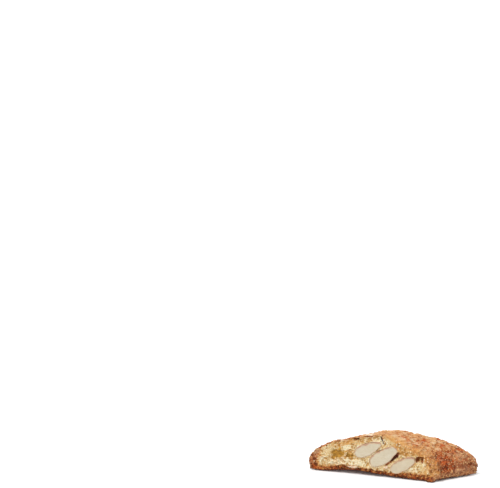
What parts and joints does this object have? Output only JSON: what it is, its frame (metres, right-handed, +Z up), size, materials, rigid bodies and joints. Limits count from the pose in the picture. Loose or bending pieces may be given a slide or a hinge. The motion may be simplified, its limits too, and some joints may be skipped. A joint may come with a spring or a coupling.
{
  "type": "almond biscotto",
  "caption": "Almond biscotto: a slanting slice of baked loaf with a crumb face on each side, a domed sugared crust and cut almonds set in both faces.",
  "frame": {"origin": "on the floor under the middle of the bounding box", "axes": "+X along the two cut faces, +Y through the slice from the near cut face to the far one, +Z up from the flat base"},
  "size_m": [0.0952, 0.0186, 0.0257],
  "materials": {
    "baked_dough": "matte open crumb, pale yellow on the cut faces, with a tan to orange-brown sugared crust",
    "almond": "smooth cream cut face with a thin brown skin round it"
  },
  "bodies": {
    "root": {"biscuit": "baked_dough", "almond_near_1": "almond", "almond_near_2": "almond", "almond_near_3": "almond", "almond_far_1": "almond", "almond_far_2": "almond", "almond_far_3": "almond", "almond_far_4": "almond"}
  },
  "joints": []
}
